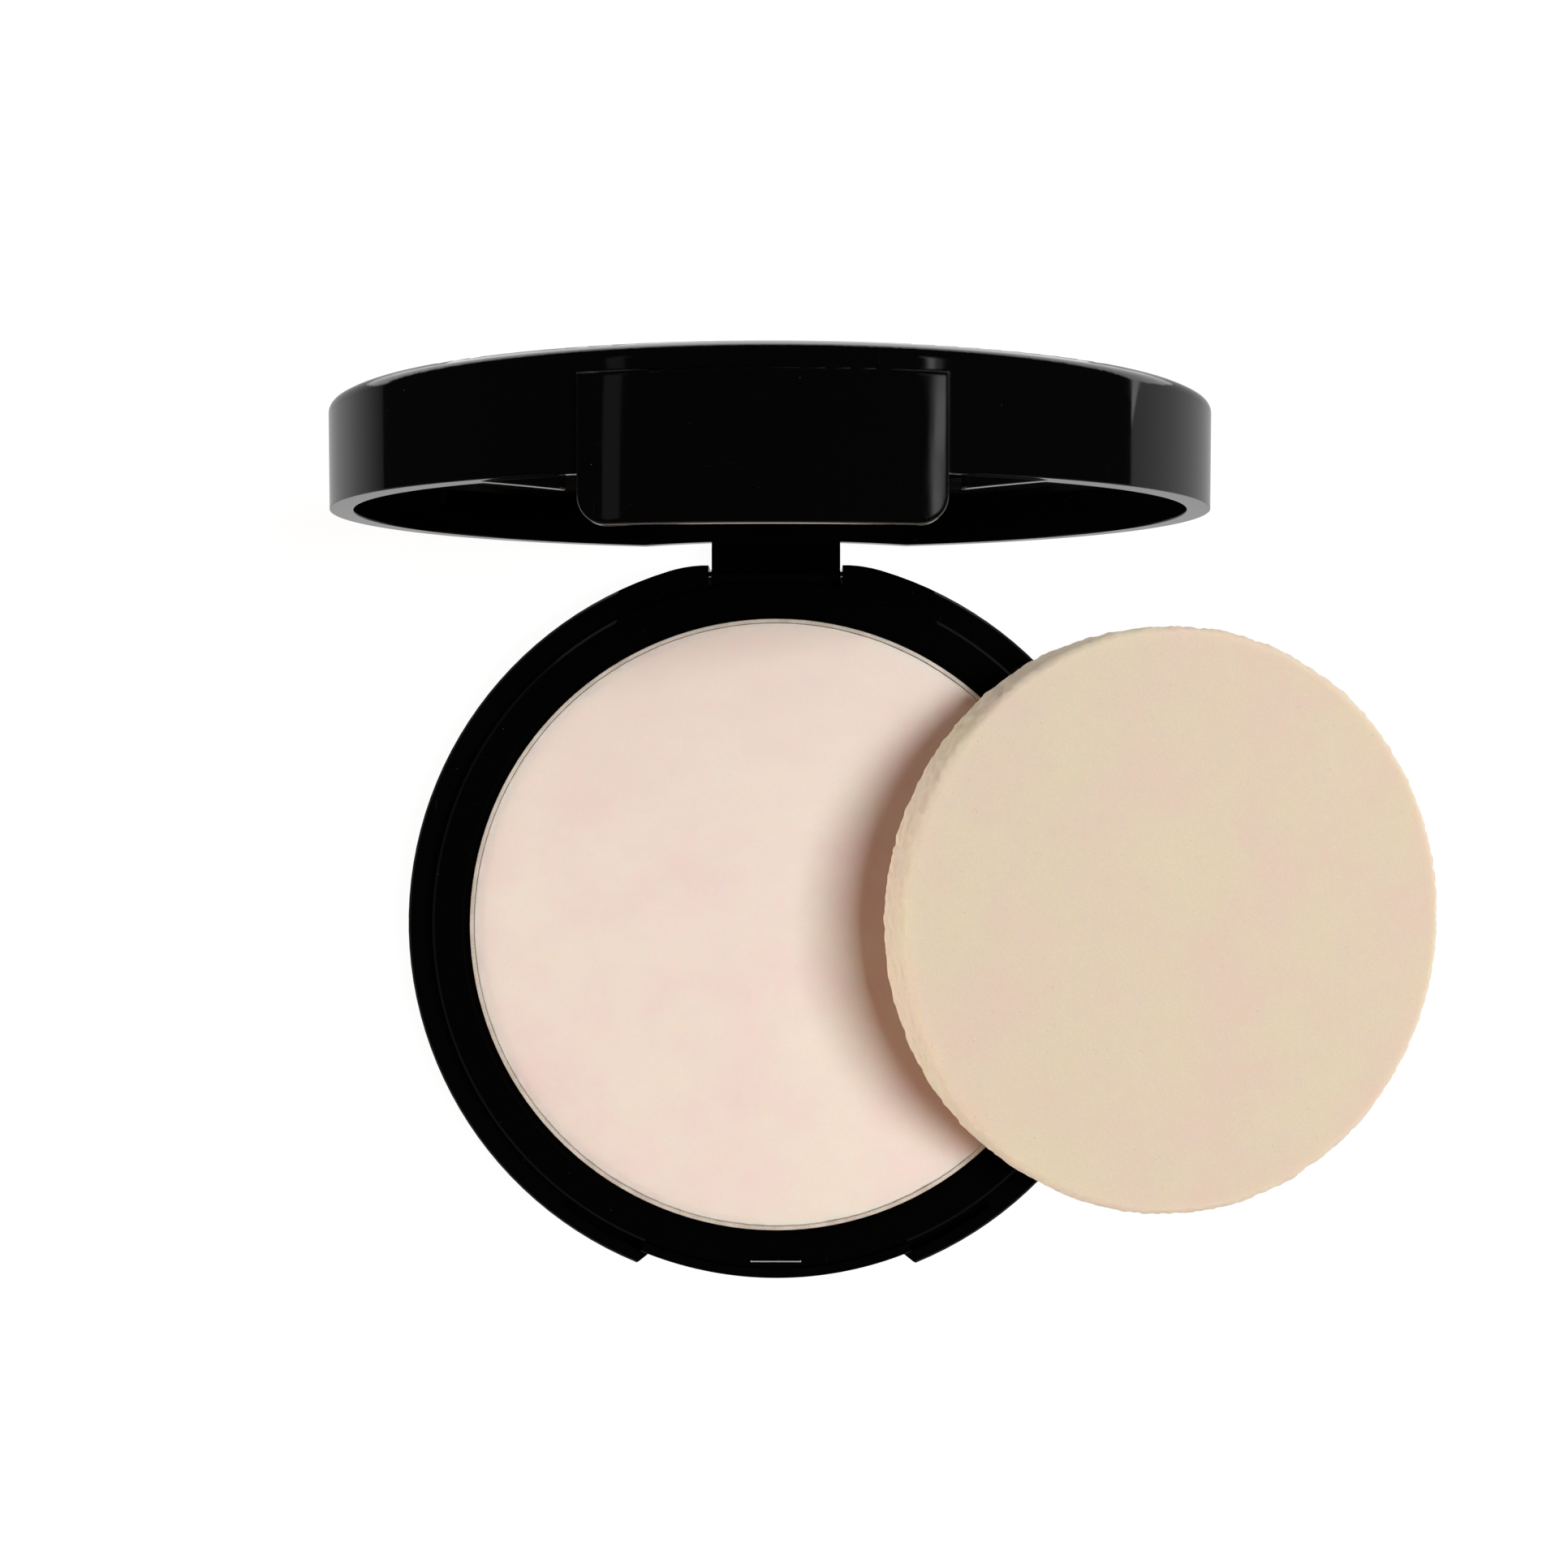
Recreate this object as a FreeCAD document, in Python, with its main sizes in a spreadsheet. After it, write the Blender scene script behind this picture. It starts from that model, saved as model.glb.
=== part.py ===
"""Round powder compact: case with its lid open, pressed powder pan and loose sponge.

Millimetres, +Z up.  The origin is on the underside of the base, under the centre of
the pan; +Y points to the hinge, -Y to the front catch and +X to the sponge.
The lid's pieces are drawn with the lid shut and then swung open about the hinge pin.
"""
import FreeCAD, Part
import Sketcher
import math
import os
import re

SHEET = "Sizes"

SIZES = [
    # base: heights above the table, radii from the centre of the pan
    ("base_radius", 35.8, "outside of the base"),
    ("base_round", 3.0, "radius of the rounded lower edge"),
    ("parting_height", 7.0, "height of the plane where the lid meets the base"),
    ("parting_bevel", 0.25, "bevel on the edges along the parting line"),
    ("shell_inner_radius", 33.3, "inside of the base's side wall"),
    ("floor_top", 1.5, "top of the base's floor"),
    ("rear_flat", 34.8, "flat at the rear of base and lid"),
    ("rear_blend", 12.0, "radius that blends the rear flat into the side"),
    ("support_radius", 21.0, "outside of the ring that carries the insert"),
    ("support_wall", 1.2, "thickness of that ring"),
    ("label_recess", 0.25, "depth of the label's recess in the underside"),
    ("label_radius", 24.0, "radius of the label"),
    ("label_thick", 0.15, "thickness of the label"),
    ("label_gap", 0.4, "gap around the label"),
    # front recess for the lid's tab
    ("recess_radius", 34.25, "wall behind the tab"),
    ("recess_half", 12.2, "half width of the recess at its wall"),
    ("recess_flare", 13.6, "half width of the recess at the outside of the base"),
    ("relief_radius", 34.5, "outside of the relief beside the recess"),
    ("relief_depth", 1.5, "depth of that relief"),
    ("relief_sweep", 74.5, "angle of that relief"),
    ("front_wall_top", 8.4, "top of the wall behind the tab"),
    ("front_wall_sweep", 45.0, "angle of that wall"),
    # hinge
    ("hinge_y", 33.3, "hinge axis behind the centre"),
    ("hinge_z", 3.4, "hinge axis above the table"),
    ("open_angle", 88.2, "how far the lid stands open"),
    ("tongue_half", 6.35, "half width of the lid's tongue"),
    ("slot_side_gap", 0.15, "gap at each side of the tongue"),
    ("slot_notch", 0.15, "depth of the open notch at the slot's mouth"),
    ("barrel_radius", 1.5, "radius of the tongue's barrel"),
    ("barrel_gap", 0.06, "gap below and in front of the barrel"),
    ("ear_length", 4.9, "length of the ear that holds the pin, each side"),
    ("ear_top", 5.3, "top of the ears"),
    ("ear_rear", 33.4, "how far back the ears are thickened"),
    ("pin_radius", 0.75, "radius of the hinge pin"),
    ("pin_length", 23.5, "length of the hinge pin"),
    ("pin_start", -11.2, "blind end of the pin"),
    ("pin_bore_gap", 0.05, "running clearance around the pin in the tongue"),
    ("pin_bevel", 0.2, "bevel on the pin's ends"),
    # insert that carries the pan
    ("insert_radius", 33.2, "outside of the raised land"),
    ("insert_top", 8.6, "top of the raised land"),
    ("insert_bevel", 0.3, "bevel on the land's outer edge"),
    ("insert_floor", 2.6, "underside of the insert's floor"),
    ("insert_floor_thick", 1.0, "thickness of the insert's floor"),
    ("insert_hole", 4.0, "radius of the push-out hole under the pan"),
    ("insert_wall", 1.25, "thickness of the wall around the pan"),
    ("land_thick", 1.4, "thickness of the land"),
    ("skirt_bottom", 5.5, "lower edge of the land's outer skirt"),
    ("skirt_wall", 1.2, "thickness of that skirt"),
    ("bezel_bevel", 0.6, "bevel around the pan"),
    ("catch_radius", 32.3, "distance of the catch rib from the centre"),
    ("catch_half", 2.45, "half length of the catch rib"),
    ("catch_width", 0.5, "width of the catch rib"),
    ("catch_rise", 0.35, "height of the catch rib"),
    ("catch_bevel", 0.17, "bevel on the catch rib"),
    # pan, powder and glue
    ("pan_radius", 29.5, "outside of the pan"),
    ("pan_gap", 0.15, "gap between pan and insert"),
    ("pan_sheet", 0.35, "thickness of the pan's metal"),
    ("pan_round", 0.9, "radius of the pan's lower edge"),
    ("glue_radius", 23.0, "radius of the glue disc"),
    ("glue_thick", 0.3, "thickness of the glue disc"),
    ("powder_below_rim", 0.3, "depth of the powder's edge below the pan's rim"),
    ("powder_crown", 0.15, "rise of the powder towards the centre"),
    ("powder_edge", 1.2, "width of the powder's sloping margin"),
    # lid, drawn shut
    ("lid_gap", 0.05, "gap between lid and base when shut"),
    ("lid_radius", 35.3, "outside of the lid"),
    ("lid_thick", 8.5, "thickness of the lid"),
    ("lid_bevel_in", 1.13, "width of the sloping band around the lid's outer face"),
    ("lid_bevel_down", 0.6, "height of that band"),
    ("lid_wall_round", 0.8, "radius between the lid's side and the band"),
    ("lid_face_round", 1.6, "radius between the band and the lid's outer face"),
    ("lid_wall", 1.8, "thickness of the lid's side wall"),
    ("lid_roof", 1.5, "thickness of the lid's outer face"),
    ("hinge_relief_half", 12.8, "half width of the relief in the lid's rim at the hinge"),
    ("hinge_relief_rise", 0.6, "depth of that relief at the middle"),
    ("hinge_relief_front", 20.0, "where that relief starts behind the centre"),
    ("tab_half", 12.2, "half width of the tab"),
    ("tab_length", 3.42, "how far the tab hangs below the lid's rim"),
    ("tab_inner_radius", 34.6, "inside of the tab and of the room above it"),
    ("tab_room_sweep", 46.4, "angle of the room for the base's front wall"),
    ("tab_room_gap", 0.15, "gap above the base's front wall when shut"),
    ("tab_outer_radius", 35.75, "outside of the tab and of the thumb panel above it"),
    ("tab_corner", 2.0, "radius of the tab's corners"),
    ("tab_edge", 0.35, "rounding of the edges around tab and thumb panel"),
    ("panel_top", 1.9, "distance of the thumb panel from the lid's outer face"),
    ("gusset_half_foot", 19.3, "half width of the gussets at the rim"),
    ("gusset_half_tip", 13.4, "half width of the gussets at their tip"),
    ("gusset_outer_radius", 34.35, "outside of the gussets"),
    ("gusset_length", 0.85, "how far the gussets hang below the rim"),
    ("lug_reach", 32.65, "radius that the catch lug reaches in to"),
    ("lug_half", 2.2, "half width of the catch lug"),
    ("lug_thick", 0.8, "thickness of the catch lug"),
    ("lug_gap", 0.08, "gap between lug and land when shut"),
    # mirror in the lid
    ("tape_radius", 26.0, "radius of the mirror's tape"),
    ("tape_thick", 0.3, "thickness of the tape"),
    ("mirror_radius", 30.4, "radius of the mirror"),
    ("mirror_thick", 1.5, "thickness of the mirror"),
    ("mirror_bevel", 0.3, "ground edge of the mirror"),
    ("frame_gap", 0.1, "gap between frame and mirror, and frame and lid"),
    ("frame_play", 0.02, "gap between the frame's lip and the mirror"),
    ("frame_lip", 0.5, "thickness of the frame's lip over the mirror"),
    ("frame_opening", 29.6, "radius of the frame's opening"),
    # sponge
    ("sponge_radius", 27.85, "radius of the sponge"),
    ("sponge_thick", 6.0, "thickness of the sponge"),
    ("sponge_round", 0.8, "rounding of the sponge's edges"),
    ("sponge_tilt", 16.3, "tilt of the sponge"),
    ("sponge_shift", 0.8, "sponge centre behind the centre of the pan"),
    ("sponge_gap", 0.12, "gap between the sponge and the base"),
    ("table_gap", 0.03, "gap between the sponge and the table"),
    # drawing aids
    ("sink", 0.2, "how far an added shape sinks into the one it grows from"),
    ("past", 1.0, "how far a cut reaches past the face that it opens"),
    ("block_root", 8.0, "how far inside the lid's wall the front blocks start"),
]

LID_PIECES = ("lid_shell", "mirror_frame", "mirror_tape", "mirror")
FAR = "60"

doc = FreeCAD.newDocument("powder_compact")
sheet = doc.addObject("Spreadsheet::Sheet", SHEET)
for row, (alias, number, meaning) in enumerate(SIZES, start=1):
    sheet.set(f"A{row}", meaning)
    sheet.set(f"B{row}", str(number))
    sheet.setAlias(f"B{row}", alias)
doc.recompute()
ALIASES = {alias for alias, number, meaning in SIZES}


def bound(text):
    """Expression text with every sheet alias given its full name."""
    return re.sub(r"[A-Za-z_]\w*", lambda hit: f"{SHEET}.{hit[0]}" if hit[0] in ALIASES else hit[0], text)


def value(text):
    """Number that an expression has with the sheet's values."""
    result = sheet.evalExpression(bound(text))
    return float(getattr(result, "Value", result))


# ---------------------------------------------------------------- sketches

def new_body(name):
    body = doc.addObject("PartDesign::Body", name)
    body.Label = name
    return body


def new_sketch(body, name, plane, offset=None):
    """Sketch on one of the body's origin planes, moved along the plane's normal."""
    sketch = body.newObject("Sketcher::SketchObject", name)
    support = next(item for item in body.Origin.OriginFeatures if item.Role == plane)
    sketch.AttachmentSupport = [(support, "")]
    sketch.MapMode = "FlatFace"
    if offset:
        sketch.setExpression("AttachmentOffset.Base.z", bound(offset))
    return sketch


def constrain(sketch, kind, where, text):
    """Dimensional constraint driven by an expression."""
    index = sketch.addConstraint(Sketcher.Constraint(kind, *where, value(text)))
    sketch.setExpression(f"Constraints[{index}]", bound(text))


def pin_point(sketch, edge, vertex, across, up):
    """Hold a vertex at a place given by two expressions."""
    for kind, axis, text in (("DistanceX", -2, across), ("DistanceY", -1, up)):
        if abs(value(text)) < 1e-9:
            sketch.addConstraint(Sketcher.Constraint("PointOnObject", edge, vertex, axis))
        else:
            constrain(sketch, kind, (-1, 1, edge, vertex), text)


def rounded_corner(before, corner, after, radius):
    """Tangent points, centre and turning side of an arc that rounds a corner."""
    back = (before - corner).normalize()
    ahead = (after - corner).normalize()
    half = back.getAngle(ahead) / 2
    centre = corner + (back + ahead).normalize() * (radius / math.sin(half))
    run = radius / math.tan(half)
    left_turn = (back.x * ahead.y - back.y * ahead.x) < 0
    return corner + back * run, corner + ahead * run, centre, left_turn


def add_polygon(sketch, corners):
    """Closed outline of straight lines; a corner may carry a third expression, its rounding."""
    places = [FreeCAD.Vector(value(corner[0]), value(corner[1]), 0) for corner in corners]
    count = len(corners)
    arrive, leave, arcs = list(places), list(places), {}
    for index, corner in enumerate(corners):
        if len(corner) == 3:
            start, end, centre, left_turn = rounded_corner(
                places[index - 1], places[index], places[(index + 1) % count], value(corner[2]))
            arrive[index], leave[index], arcs[index] = start, end, (centre, left_turn)
    first = sketch.GeometryCount
    for index in range(count):
        sketch.addGeometry(Part.LineSegment(leave[index], arrive[(index + 1) % count]), False)
    for index, corner in enumerate(corners):
        coming, going = first + (index - 1) % count, first + index
        if index not in arcs:
            sketch.addConstraint(Sketcher.Constraint("Coincident", coming, 2, going, 1))
            pin_point(sketch, going, 1, corner[0], corner[1])
            continue
        centre, left_turn = arcs[index]
        ends = (arrive[index], leave[index]) if left_turn else (leave[index], arrive[index])
        angles = [math.atan2(end.y - centre.y, end.x - centre.x) for end in ends]
        circle = Part.Circle(centre, FreeCAD.Vector(0, 0, 1), value(corner[2]))
        arc = sketch.addGeometry(Part.ArcOfCircle(circle, *angles), False)
        arc_start, arc_end = (1, 2) if left_turn else (2, 1)
        sketch.addConstraint(Sketcher.Constraint("Tangent", coming, 2, arc, arc_start))
        sketch.addConstraint(Sketcher.Constraint("Tangent", going, 1, arc, arc_end))
        constrain(sketch, "Radius", (arc,), corner[2])
        mark = sketch.addGeometry(Part.Point(places[index]), True)
        pin_point(sketch, mark, 1, corner[0], corner[1])
        sketch.addConstraint(Sketcher.Constraint("PointOnObject", mark, 1, coming))
        sketch.addConstraint(Sketcher.Constraint("PointOnObject", mark, 1, going))


def add_circle(sketch, radius, across="0", up="0"):
    centre = FreeCAD.Vector(value(across), value(up), 0)
    edge = sketch.addGeometry(Part.Circle(centre, FreeCAD.Vector(0, 0, 1), value(radius)), False)
    pin_point(sketch, edge, 3, across, up)
    constrain(sketch, "Radius", (edge,), radius)


def add_flattened_circle(sketch, radius, flat, blend):
    """Circle about the origin with a flat at the rear, blended in with tangent arcs."""
    big, cut, small = value(radius), value(flat), value(blend)
    side = math.sqrt((big - small) ** 2 - (cut - small) ** 2)
    turn = math.atan2(cut - small, side)
    up_axis = FreeCAD.Vector(0, 0, 1)
    main_circle = Part.Circle(FreeCAD.Vector(0, 0, 0), up_axis, big)
    right_circle = Part.Circle(FreeCAD.Vector(side, cut - small, 0), up_axis, small)
    left_circle = Part.Circle(FreeCAD.Vector(-side, cut - small, 0), up_axis, small)
    main = sketch.addGeometry(Part.ArcOfCircle(main_circle, math.pi - turn, 2 * math.pi + turn), False)
    right = sketch.addGeometry(Part.ArcOfCircle(right_circle, turn, math.pi / 2), False)
    flat_ends = FreeCAD.Vector(side, cut, 0), FreeCAD.Vector(-side, cut, 0)
    line = sketch.addGeometry(Part.LineSegment(*flat_ends), False)
    left = sketch.addGeometry(Part.ArcOfCircle(left_circle, math.pi / 2, math.pi - turn), False)
    sketch.addConstraint(Sketcher.Constraint("Coincident", main, 3, -1, 1))
    for one, two in ((main, right), (right, line), (line, left), (left, main)):
        sketch.addConstraint(Sketcher.Constraint("Tangent", one, 2, two, 1))
    sketch.addConstraint(Sketcher.Constraint("Horizontal", line))
    constrain(sketch, "Radius", (main,), radius)
    constrain(sketch, "Radius", (right,), blend)
    constrain(sketch, "Radius", (left,), blend)
    constrain(sketch, "DistanceY", (-1, 1, line, 1), flat)


# ---------------------------------------------------------------- features

def add_feature(body, kind, name, sketch):
    feature = body.newObject(f"PartDesign::{kind}", name)
    feature.Profile = sketch
    return feature


def checked(body, feature, grows):
    """Recompute and make sure that the feature added or removed material."""
    before = feature.BaseFeature.Shape.Volume if feature.BaseFeature else 0.0
    doc.recompute()
    change = feature.Shape.Volume - before
    if (change > 0) != grows or abs(change) < 1e-4:
        raise RuntimeError(f"{body.Label}.{feature.Label} changed the volume by {change:.4f}")
    return feature


def turn(body, name, corners, add=True, plane="XZ_Plane", sweep=None):
    """Revolve a polygon about Z: the whole way, or by an angle centred on the plane."""
    sketch = new_sketch(body, f"{name}_profile", plane)
    add_polygon(sketch, corners)
    feature = add_feature(body, "Revolution" if add else "Groove", name, sketch)
    feature.ReferenceAxis = (sketch, ["V_Axis"])
    feature.Angle = 360
    if sweep:
        feature.setExpression("Angle", bound(sweep))
        feature.Midplane = True
    return checked(body, feature, add)


def extrude(body, name, sketch, length, add=True, up=True, middle=False):
    """Pad or pocket along the sketch's normal (up) or against it."""
    feature = add_feature(body, "Pad" if add else "Pocket", name, sketch)
    feature.setExpression("Length", bound(length))
    feature.Midplane = middle
    feature.Reversed = up != add
    return checked(body, feature, add)


def ring_edge(radius, height):
    """Test for a round edge about Z at a radius and height."""
    def is_edge(edge):
        curve = edge.Curve
        if not isinstance(curve, Part.Circle):
            return False
        centred = math.hypot(curve.Center.x, curve.Center.y) < 1e-4
        return centred and abs(curve.Radius - radius) < 1e-4 and abs(curve.Center.z - height) < 1e-4
    return is_edge


def level_edge(height):
    """Test for an edge whose ends lie at a height."""
    return lambda edge: all(abs(vertex.Z - height) < 1e-6 for vertex in edge.Vertexes)


def edge_at_radius(radius):
    """Test for an edge whose ends and middle lie at a distance from Z."""
    def is_edge(edge):
        middle = edge.valueAt((edge.FirstParameter + edge.LastParameter) / 2)
        points = [vertex.Point for vertex in edge.Vertexes] + [middle]
        return all(abs(math.hypot(point.x, point.y) - radius) < 1e-4 for point in points)
    return is_edge


def dress(body, kind, name, size, test):
    """Fillet or chamfer every edge of the body's tip that passes the test."""
    base = body.Tip
    chosen = [f"Edge{number}" for number, edge in enumerate(base.Shape.Edges, start=1) if test(edge)]
    if not chosen:
        raise RuntimeError(f"{body.Label}.{name} found no edge")
    feature = body.newObject(f"PartDesign::{kind}", name)
    feature.Base = (base, chosen)
    feature.setExpression("Radius" if kind == "Fillet" else "Size", bound(size))
    doc.recompute()
    return feature


# ---------------------------------------------------------------- base

def make_base_shell():
    body = new_body("base_shell")
    turn(body, "cup", [
        ("0", "label_recess"),
        ("label_radius + label_gap", "label_recess"),
        ("label_radius + label_gap", "0"),
        ("base_radius", "0", "base_round"),
        ("base_radius", "parting_height"),
        ("shell_inner_radius", "parting_height"),
        ("shell_inner_radius", "floor_top"),
        ("support_radius", "floor_top"),
        ("support_radius", "insert_floor"),
        ("support_radius - support_wall", "insert_floor"),
        ("support_radius - support_wall", "floor_top"),
        ("0", "floor_top"),
    ])
    dress(body, "Chamfer", "upper_edge", "parting_bevel",
          ring_edge(value("base_radius"), value("parting_height")))

    outline = new_sketch(body, "outline", "XY_Plane", "0 - past")
    add_circle(outline, FAR)
    add_flattened_circle(outline, "base_radius", "rear_flat", "rear_blend")
    extrude(body, "rear_trim", outline, "parting_height + 2 * past", add=False)

    ears = new_sketch(body, "ears_plan", "XY_Plane", "floor_top - sink")
    slot_half = "(tongue_half + slot_side_gap)"
    slot_front = "hinge_y - barrel_radius - 2 * barrel_gap"
    add_polygon(ears, [
        (f"0 - {slot_half} - ear_length", slot_front),
        (f"{slot_half} + ear_length", slot_front),
        (f"{slot_half} + ear_length", "ear_rear"),
        (f"0 - {slot_half} - ear_length", "ear_rear"),
    ])
    extrude(body, "ears", ears, "ear_top - floor_top + sink")

    slot = new_sketch(body, "slot_plan", "XY_Plane", "hinge_z - barrel_radius - barrel_gap")
    add_polygon(slot, [
        (f"0 - {slot_half}", f"{slot_front} - past"),
        (slot_half, f"{slot_front} - past"),
        (slot_half, FAR),
        (f"0 - {slot_half}", FAR),
    ])
    extrude(body, "slot", slot, FAR, add=False)

    notch = new_sketch(body, "notch_plan", "XY_Plane", "0 - past")
    add_polygon(notch, [
        (f"0 - {slot_half}", "rear_flat - slot_notch"),
        (slot_half, "rear_flat - slot_notch"),
        (slot_half, FAR),
        (f"0 - {slot_half}", FAR),
    ])
    extrude(body, "notch", notch, FAR, add=False)

    turn(body, "gusset_relief", [
        ("0 - relief_radius", "parting_height - relief_depth"),
        ("0 - shell_inner_radius + past", "parting_height - relief_depth"),
        ("0 - shell_inner_radius + past", "parting_height + past"),
        ("0 - relief_radius", "parting_height + past"),
    ], add=False, plane="YZ_Plane", sweep="relief_sweep")
    turn(body, "front_wall", [
        ("0 - recess_radius", "parting_height - relief_depth - past"),
        ("0 - shell_inner_radius", "parting_height - relief_depth - past"),
        ("0 - shell_inner_radius", "front_wall_top"),
        ("0 - recess_radius", "front_wall_top", "parting_bevel"),
    ], plane="YZ_Plane", sweep="front_wall_sweep")

    recess = new_sketch(body, "recess_plan", "XY_Plane", "0 - past")
    add_recess_outline(recess)
    extrude(body, "front_recess", recess, FAR, add=False)

    bore = new_sketch(body, "pin_hole", "YZ_Plane", "pin_start")
    add_circle(bore, "pin_radius", "hinge_y", "hinge_z")
    extrude(body, "pin_seat", bore, FAR, add=False)
    return body


def add_recess_outline(sketch):
    """Front recess in plan: an arc for the wall, flared sides and a far outer edge."""
    radius, half = value("recess_radius"), value("recess_half")
    flare, wide = value("recess_flare"), value("base_radius")
    inner_y = -math.sqrt(radius ** 2 - half ** 2)
    outer_y = -math.sqrt(wide ** 2 - flare ** 2)
    slope = (flare - half) / (inner_y - outer_y)
    reach = 6.0
    far_x = half + slope * reach
    turn_at = math.acos(half / radius)
    circle = Part.Circle(FreeCAD.Vector(0, 0, 0), FreeCAD.Vector(0, 0, 1), radius)
    left_in = FreeCAD.Vector(-half, inner_y, 0)
    right_in = FreeCAD.Vector(half, inner_y, 0)
    left_out = FreeCAD.Vector(-far_x, inner_y - reach, 0)
    right_out = FreeCAD.Vector(far_x, inner_y - reach, 0)
    arc = sketch.addGeometry(Part.ArcOfCircle(circle, math.pi + turn_at, 2 * math.pi - turn_at), False)
    right = sketch.addGeometry(Part.LineSegment(right_in, right_out), False)
    front = sketch.addGeometry(Part.LineSegment(right_out, left_out), False)
    left = sketch.addGeometry(Part.LineSegment(left_out, left_in), False)
    sketch.addConstraint(Sketcher.Constraint("Coincident", arc, 3, -1, 1))
    for one, two in ((arc, right), (right, front), (front, left), (left, arc)):
        sketch.addConstraint(Sketcher.Constraint("Coincident", one, 2, two, 1))
    constrain(sketch, "Radius", (arc,), "recess_radius")
    constrain(sketch, "DistanceX", (-1, 1, right, 1), "recess_half")
    constrain(sketch, "DistanceX", (-1, 1, left, 2), "0 - recess_half")
    for edge, vertex, side in ((front, 1, 1), (front, 2, -1)):
        sketch.addConstraint(Sketcher.Constraint("DistanceX", -1, 1, edge, vertex, side * far_x))
        sketch.addConstraint(Sketcher.Constraint("DistanceY", -1, 1, edge, vertex, inner_y - reach))


def make_base_insert():
    body = new_body("base_insert")
    well = "pan_radius + pan_gap"
    turn(body, "tray", [
        ("insert_hole", "insert_floor"),
        (f"{well} + insert_wall", "insert_floor"),
        (f"{well} + insert_wall", "insert_top - land_thick"),
        ("insert_radius - skirt_wall", "insert_top - land_thick"),
        ("insert_radius - skirt_wall", "skirt_bottom"),
        ("insert_radius", "skirt_bottom"),
        ("insert_radius", "insert_top"),
        (f"{well} + bezel_bevel", "insert_top"),
        (well, "insert_top - bezel_bevel"),
        (well, "insert_floor + insert_floor_thick"),
        ("insert_hole", "insert_floor + insert_floor_thick"),
    ])
    land_edge = ring_edge(value("insert_radius"), value("insert_top"))
    dress(body, "Chamfer", "land_edge", "insert_bevel", land_edge)

    rib = new_sketch(body, "catch_plan", "XY_Plane", "insert_top - sink")
    add_polygon(rib, [
        ("0 - catch_half", "0 - catch_radius - catch_width / 2"),
        ("catch_half", "0 - catch_radius - catch_width / 2"),
        ("catch_half", "0 - catch_radius + catch_width / 2"),
        ("0 - catch_half", "0 - catch_radius + catch_width / 2"),
    ])
    extrude(body, "catch_rib", rib, "catch_rise + sink")
    dress(body, "Chamfer", "rib_bevel", "catch_bevel", level_edge(value("insert_top + catch_rise")))
    return body


def make_hinge_pin():
    body = new_body("hinge_pin")
    end = new_sketch(body, "section", "YZ_Plane", "pin_start")
    add_circle(end, "pin_radius", "hinge_y", "hinge_z")
    extrude(body, "rod", end, "pin_length")
    dress(body, "Chamfer", "ends", "pin_bevel", lambda edge: isinstance(edge.Curve, Part.Circle))
    return body


def make_bottom_label():
    body = new_body("bottom_label")
    disc = new_sketch(body, "disc", "XY_Plane", "label_recess - label_thick")
    add_circle(disc, "label_radius")
    extrude(body, "sticker", disc, "label_thick")
    return body


# ---------------------------------------------------------------- pan and powder

def make_pan_glue():
    body = new_body("pan_glue")
    disc = new_sketch(body, "disc", "XY_Plane", "insert_floor + insert_floor_thick")
    add_circle(disc, "glue_radius")
    extrude(body, "pad", disc, "glue_thick")
    return body


PAN_FLOOR = "insert_floor + insert_floor_thick + glue_thick"


def make_powder_pan():
    body = new_body("powder_pan")
    turn(body, "dish", [
        ("0", PAN_FLOOR),
        ("pan_radius", PAN_FLOOR, "pan_round"),
        ("pan_radius", "insert_top"),
        ("pan_radius - pan_sheet", "insert_top"),
        ("pan_radius - pan_sheet", f"{PAN_FLOOR} + pan_sheet"),
        ("0", f"{PAN_FLOOR} + pan_sheet"),
    ])
    return body


def make_pressed_powder():
    body = new_body("pressed_powder")
    turn(body, "cake", [
        ("0", f"{PAN_FLOOR} + pan_sheet"),
        ("pan_radius - pan_sheet", f"{PAN_FLOOR} + pan_sheet"),
        ("pan_radius - pan_sheet", "insert_top - powder_below_rim"),
        ("pan_radius - pan_sheet - powder_edge", "insert_top - powder_below_rim + powder_crown"),
        ("0", "insert_top - powder_below_rim + powder_crown"),
    ])
    return body


# ---------------------------------------------------------------- lid, drawn shut

RIM = "parting_height + lid_gap"
ROOF = f"{RIM} + lid_thick - lid_roof"


def front_block(body, name, corners, corner_round=None):
    """Block at the front of the lid, drawn as seen from the front."""
    sketch = new_sketch(body, f"{name}_front", "XZ_Plane", "shell_inner_radius - block_root")
    add_polygon(sketch, corners)
    block = extrude(body, name, sketch, "tab_outer_radius - shell_inner_radius + block_root + past")
    if corner_round:
        low = min(value(up) for across, up in corners)
        dress(body, "Fillet", f"{name}_corners", corner_round, lambda edge: is_low_corner(edge, low))
    return block


def is_low_corner(edge, low):
    """Straight edge along Y at the lowest height of a block."""
    if len(edge.Vertexes) < 2:
        return False
    one, two = edge.Vertexes[0].Point, edge.Vertexes[1].Point
    along_y = abs(one.x - two.x) < 1e-6 and abs(one.z - two.z) < 1e-6
    return along_y and abs(one.z - low) < 1e-6


def trim_ring(body, name, inside, outside, low, high):
    """Turn away everything between two radii and two heights."""
    turn(body, name, [(inside, low), (outside, low), (outside, high), (inside, high)], add=False)


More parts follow.
